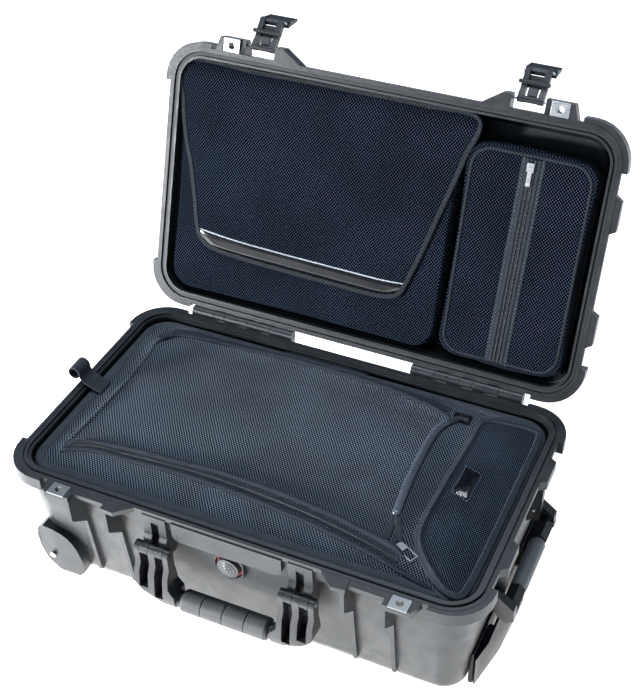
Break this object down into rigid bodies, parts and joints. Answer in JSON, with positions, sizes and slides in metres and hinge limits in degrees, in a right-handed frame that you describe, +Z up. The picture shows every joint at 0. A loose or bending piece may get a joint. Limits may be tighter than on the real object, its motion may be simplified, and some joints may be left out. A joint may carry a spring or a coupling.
{
  "type": "rolling flight case",
  "caption": "Hard-shell rolling carry-on case, open, with twin latches, fold handles, pull handle, corner wheels and fitted mesh travel bags in lid and base.",
  "frame": {"origin": "middle of the underside, on the surface the case stands on", "axes": "+X towards the end with the side handle and the pull, +Y towards the hinges, +Z up"},
  "size_m": [0.568, 0.522, 0.5024],
  "materials": {
    "resin": "textured",
    "rubber": "matte",
    "gloss": "gloss",
    "steel": "satin",
    "alloy": "satin",
    "seal": "matte",
    "red_seal": "matte",
    "tyre": "matte",
    "mesh": "woven",
    "webbing": "woven",
    "vinyl": "gloss"
  },
  "bodies": {
    "base": {"base_shell": "resin", "hinge_pin_left": "steel", "hinge_pin_right": "steel", "base_padlock_plate_left": "steel", "base_padlock_plate_right": "steel", "handle_pin_left": "steel", "handle_pin_right": "steel", "side_pin_front": "steel", "side_pin_back": "steel", "trolley_bezel": "gloss", "trolley_cover": "resin", "trolley_sleeve_front": "alloy", "trolley_sleeve_back": "alloy", "wheel_cover_front": "resin", "wheel_cover_back": "resin", "wheel_axle_front": "steel", "wheel_axle_back": "steel", "purge_valve_body": "gloss", "purge_valve_seal": "red_seal", "purge_valve_nut": "gloss", "clothing_bag": "mesh", "lift_strap": "webbing", "strap_ring": "steel", "pouch_flap": "mesh", "pouch_patch": "vinyl"},
    "lid": {"lid_shell": "resin", "lid_gasket": "seal", "lid_padlock_plate_left": "steel", "lid_padlock_plate_right": "steel", "latch_pin_left": "steel", "latch_pin_right": "steel", "laptop_sleeve": "mesh", "sleeve_flap": "mesh", "toiletry_bag": "mesh"},
    "latch_left": {"latch_body_left": "resin", "latch_block_left": "rubber", "lever_pin_left": "steel"},
    "latch_right": {"latch_body_right": "resin", "latch_block_right": "rubber", "lever_pin_right": "steel"},
    "lever_left": {"latch_lever_left": "resin"},
    "lever_right": {"latch_lever_right": "resin"},
    "front_handle": {"front_handle_frame": "resin", "front_handle_grip": "rubber"},
    "side_handle": {"side_handle_frame": "gloss", "side_handle_grip": "rubber"},
    "trolley": {"trolley_grip": "gloss", "trolley_tube_front": "alloy", "trolley_tube_back": "alloy"},
    "trolley_button": {"trolley_button": "rubber"},
    "wheel_front": {"wheel_tyre_front": "tyre", "wheel_hub_front": "gloss"},
    "wheel_back": {"wheel_tyre_back": "tyre", "wheel_hub_back": "gloss"},
    "purge_knob": {"purge_valve_knob": "gloss"},
    "bag_zip": {"bag_zip_slider": "steel"},
    "toiletry_zip": {"toiletry_zip_slider": "steel"}
  },
  "joints": [
    {"name": "lid_hinge", "type": "hinge", "parent": "base", "child": "lid", "pos_m": [0, 0.1648, 0.1666], "axis": [1, 0, 0], "range_deg": [0, 109.6]},
    {"name": "latch_left_swing", "type": "hinge", "parent": "lid", "child": "latch_left", "pos_m": [-0.16, 0.28435, 0.4773], "axis": [1, 0, 0], "range_deg": [-8, 118]},
    {"name": "latch_right_swing", "type": "hinge", "parent": "lid", "child": "latch_right", "pos_m": [0.16, 0.28435, 0.4773], "axis": [1, 0, 0], "range_deg": [-8, 118]},
    {"name": "lever_left_swing", "type": "hinge", "parent": "latch_left", "child": "lever_left", "pos_m": [-0.16, 0.31081, 0.49875], "axis": [1, 0, 0], "range_deg": [-12, 41]},
    {"name": "lever_right_swing", "type": "hinge", "parent": "latch_right", "child": "lever_right", "pos_m": [0.16, 0.31081, 0.49875], "axis": [1, 0, 0], "range_deg": [-12, 41]},
    {"name": "front_handle_swing", "type": "hinge", "parent": "base", "child": "front_handle", "pos_m": [0, -0.166, 0.118], "axis": [-1, 0, 0], "range_deg": [0, 95]},
    {"name": "side_handle_swing", "type": "hinge", "parent": "base", "child": "side_handle", "pos_m": [0.266, 0, 0.108], "axis": [0, -1, 0], "range_deg": [0, 70]},
    {"name": "trolley_slide", "type": "slide", "parent": "base", "child": "trolley", "axis": [1, 0, 0], "range_m": [0, 0.38]},
    {"name": "trolley_button_press", "type": "slide", "parent": "trolley", "child": "trolley_button", "axis": [-1, 0, 0], "range_m": [0, 0.003], "stiffness_N_per_m": 200},
    {"name": "wheel_front_spin", "type": "hinge", "parent": "base", "child": "wheel_front", "pos_m": [-0.238, -0.128, 0.028], "axis": [0, 1, 0], "continuous": true},
    {"name": "wheel_back_spin", "type": "hinge", "parent": "base", "child": "wheel_back", "pos_m": [-0.238, 0.128, 0.028], "axis": [0, 1, 0], "continuous": true},
    {"name": "purge_knob_turn", "type": "hinge", "parent": "base", "child": "purge_knob", "pos_m": [-0.003, -0.15, 0.112], "axis": [0, 1, 0], "range_deg": [-180, 180]},
    {"name": "bag_zip_slide", "type": "slide", "parent": "base", "child": "bag_zip", "axis": [-1, 0, 0], "range_m": [0, 0.3]},
    {"name": "toiletry_zip_slide", "type": "slide", "parent": "lid", "child": "toiletry_zip", "axis": [0, -0.3355, -0.9421], "range_m": [0, 0.19]}
  ]
}
